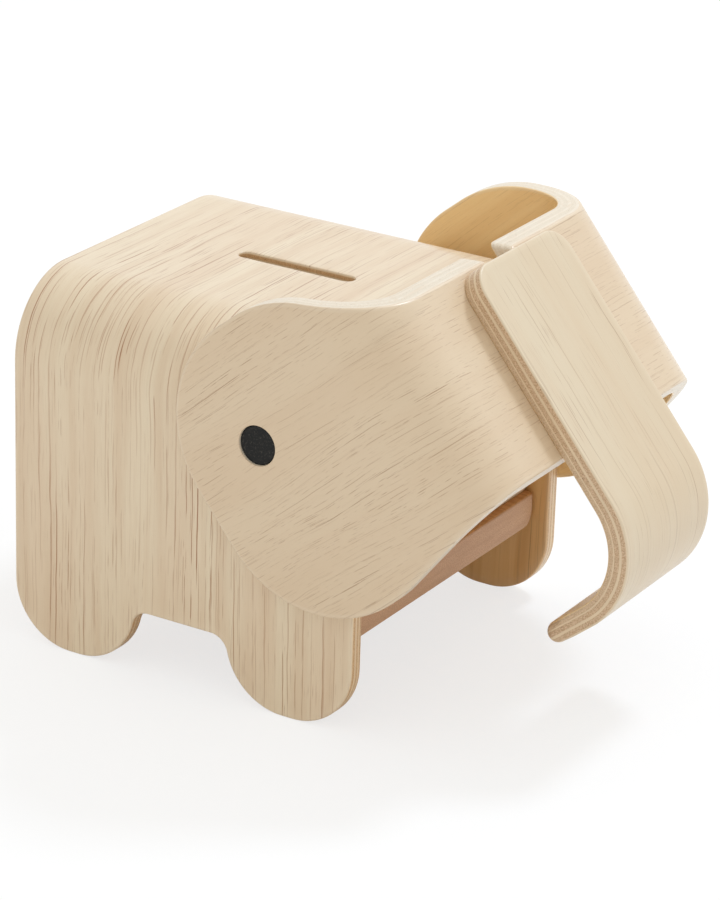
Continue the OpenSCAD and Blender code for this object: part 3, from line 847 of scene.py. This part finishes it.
finishPiece(buildPegs(), solidWood("dowelWood", dowelLook), "box", "trunk_dowels")


stopper = {"lipR": 23.0, "lip": 2.6, "plugR": 17.95, "plug": 8.6, "groove": 0.8, "rib": 2.2,
           "dish": 0.9, "round": 0.5, "underEdge": 3.0, "seat": 0.3, "topEdge": 3.0,
           "columns": 128}
stopperLook = {"rubber": tone(92, 84, 76), "dusty": tone(112, 103, 94), "roughLow": 0.55,
               "roughHigh": 0.75, "bump": 0.25, "reach": 0.0002}


# Moulded rubber: a matt tone with faint dust and a fine orange-peel surface
def mouldedRubber(name, look):
    material, tree, shader = newMaterial(name)
    grain = grainOf(tree)
    dust = noiseOf(tree, grain, (0.12, 0.12, 0.2), 4)
    peel = noiseOf(tree, grain, (2.2, 2.2, 2.2), 2)
    colour = mixColour(tree, remap(tree, dust, 0.4, 0.68), look["rubber"], look["dusty"])
    wireShader(tree, shader, colour, glossOf(tree, dust, look), peel, look["bump"], look["reach"])
    return material


# A lip with a round edge and a dished underside, and a plug with a rib at either end of its
# groove. The dish is dish * (1 - t squared) squared, where t is the share of its radius.
def buildStopper(k=stopper):
    low, h = board["low"], k["lip"] / 2
    plug, inner, g = k["plugR"], k["plugR"] - k["groove"], k["round"]
    top = low + k["plug"]
    t = np.linspace(0, 1, 10)[:-1]
    under = np.stack([(k["lipR"] - h - k["underEdge"]) * t,
                      low - k["lip"] + k["dish"] * (1 - t ** 2) ** 2], 1)
    profile = np.concatenate([
        under, arcLoop(k["lipR"] - h, low - h, h, 270, 450, 18), [[plug + k["seat"], low]],
        arcLoop(plug - g, low + k["rib"] - g, g, 0, 90, 5), [[inner, low + k["rib"]]],
        [[inner, top - k["rib"]]], arcLoop(plug - g, top - k["rib"] + g, g, 270, 360, 5),
        arcLoop(plug - g, top - g, g, 0, 90, 5), [[plug - k["topEdge"], top], [0, top]]])
    grid = turnedGrid(profile, k["columns"])
    points = grid + [bodyShell["length"] / 2, 0, 0]
    return gridMesh("coinStopper", points, grid, merge=True, closedRows=False)


finishPiece(buildStopper(), mouldedRubber("stopperRubber", stopperLook), "stopper",
            "coin_stopper")


innerLook = dict(dowelLook, bump=0.3, reach=0.0002)
innerNoise = {"streak": {"stretch": (1200, 60, 1200), "detail": 3},
              "fine": {"stretch": (3000, 150, 3000), "shift": (4, 4, 4)}}
innerStep = {"streak": (0.35, 0.68), "fine": (0.5, 0.7, 0.0, 0.5)}


# The glued dowels between flanks and board stay as the CAD made them, with their fibres along y
# on Object coordinates, which are in metres
def innerDowelWood(name, look):
    material, tree, shader = newMaterial(name)
    place = addNode(tree, "ShaderNodeTexCoord").outputs["Object"]
    streak, fine = (noiseOf(tree, place, **innerNoise[key]) for key in ("streak", "fine"))
    colour = mixColour(tree, remap(tree, streak, *innerStep["streak"]), look["wood"],
                       look["woodDark"])
    colour = mixColour(tree, remap(tree, fine, *innerStep["fine"]), colour, look["pore"])
    wireShader(tree, shader, colour, glossOf(tree, fine, look), fine, look["bump"], look["reach"])
    return material


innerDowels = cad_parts["floor_dowels"]
innerWood = innerDowelWood("innerDowelWood", innerLook)
if len(innerDowels.data.materials):
    for index in range(len(innerDowels.data.materials)):
        innerDowels.material_slots[index].material = innerWood
else:
    innerDowels.data.materials.append(innerWood)
print("dressed floor_dowels")


# Floor, world and key light, with lengths in metres; white is how much of the floor's look is
# plain white, and the key stands at an azimuth and a height in degrees round the object
studio = {"floorSize": 6.0, "floor": tone(249, 249, 249), "floorRoughness": 0.9, "white": 0.72,
          "worldLight": 0.87, "worldColour": (1.0, 0.99, 0.95, 1.0),
          "keyPower": 5.0, "keyDistance": 1.1, "keySize": 0.22, "keyAzimuth": 72.0,
          "keyHeight": 58.0, "keyColour": (0.86, 0.98, 1.14), "keyAim": (0, 0, 0.05)}


# 1 for rays of any of these kinds
def pathIs(tree, *kinds):
    path = addNode(tree, "ShaderNodeLightPath")
    total = path.outputs[kinds[0]]
    for kind in kinds[1:]:
        total = mathOf(tree, "MAXIMUM", total, path.outputs[kind])
    return total


# A pale floor: plain diffuse for the light, and for the camera mostly white with the shadow kept
def buildFloor(k=studio):
    half = k["floorSize"] / 2
    mesh = bpy.data.meshes.new("studioFloor")
    corners = [(-half, -half, 0), (half, -half, 0), (half, half, 0), (-half, half, 0)]
    mesh.from_pydata(corners, [], [(0, 1, 2, 3)])
    material, tree, shader = newMaterial("studioFloor")
    shader.inputs["Base Color"].default_value = k["floor"]
    shader.inputs["Roughness"].default_value = k["floorRoughness"]
    shader.inputs["Specular IOR Level"].default_value = 0.0
    glow = addNode(tree, "ShaderNodeEmission", Color=(1, 1, 1, 1), Strength=1.0)
    seen = times(tree, pathIs(tree, "Is Camera Ray"), k["white"])
    mix = addNode(tree, "ShaderNodeMixShader", i0=seen, i1=shader.outputs[0], i2=glow.outputs[0])
    tree.links.new(mix.outputs[0], tree.nodes["Material Output"].inputs[0])
    mesh.materials.append(material)
    addObject("studioFloor", mesh)


# The world is plain white to the camera and in reflections, and lights the scene a little dimmer
def buildWorld(k=studio):
    world = bpy.data.worlds.new("studioWorld")
    bpy.context.scene.world = world
    world.use_nodes = True
    tree = world.node_tree
    light = tree.nodes["Background"]
    light.inputs["Color"].default_value = k["worldColour"]
    light.inputs["Strength"].default_value = k["worldLight"]
    white = addNode(tree, "ShaderNodeBackground", Color=(1, 1, 1, 1), Strength=1.0)
    seen = pathIs(tree, "Is Camera Ray", "Is Glossy Ray", "Is Transmission Ray")
    mix = addNode(tree, "ShaderNodeMixShader", i0=seen, i1=light.outputs[0], i2=white.outputs[0])
    tree.links.new(mix.outputs[0], tree.nodes["World Output"].inputs[0])


# Puts an object at a place, in metres, turned so that its own x, y and z are the given directions
def aimObject(obj, place, x, y, z):
    turn = Matrix([list(row) for row in np.stack([x, y, z], 1)]).to_4x4()
    obj.matrix_world = Matrix.Translation(place) @ turn


def buildKey(k=studio):
    a, h = math.radians(k["keyAzimuth"]), math.radians(k["keyHeight"])
    towards = np.array([math.cos(a) * math.cos(h), math.sin(a) * math.cos(h), math.sin(h)])
    lamp = bpy.data.lights.new("keyLight", "AREA")
    lamp.shape = "DISK"
    lamp.size = k["keySize"]
    lamp.energy = k["keyPower"]
    lamp.color = k["keyColour"]
    sideways = np.array([-math.sin(a), math.cos(a), 0])
    aimObject(addObject("keyLight", lamp), towards * k["keyDistance"] + k["keyAim"],
              sideways, np.cross(towards, sideways), towards)


# Camera: it looks at a point of the body's frame from an azimuth and a height, moved sideways and
# up by a shift and turned a little about its own line of sight
view = {"lens": 151.28, "sensor": 36, "clip": 0.01, "azimuth": 31.0, "height": 22.36, "roll": 1.8,
        "distance": 1038.0, "right": 18.66, "up": -4.16, "centre": (54, 0, 55)}


def buildCamera(v=view):
    a, e, p = (math.radians(v[key]) for key in ("azimuth", "height", "roll"))
    back = np.array([math.sin(a) * math.cos(e), -math.cos(a) * math.cos(e), math.sin(e)])
    right = np.array([math.cos(a), math.sin(a), 0])
    up = np.cross(back, right)
    place = v["centre"] + back * v["distance"] + right * v["right"] + up * v["up"]
    place[0] += rearEdge
    data = bpy.data.cameras.new("camera")
    data.lens = v["lens"]
    data.sensor_width = v["sensor"]
    data.clip_start = v["clip"]
    obj = addObject("camera", data)
    aimObject(obj, place / perMetre, math.cos(p) * right + math.sin(p) * up,
              math.cos(p) * up - math.sin(p) * right, back)
    bpy.context.scene.camera = obj


buildFloor()
buildWorld()
buildKey()
buildCamera()
bpy.context.scene.view_settings.view_transform = "Standard"
print("stage, light and camera ready")
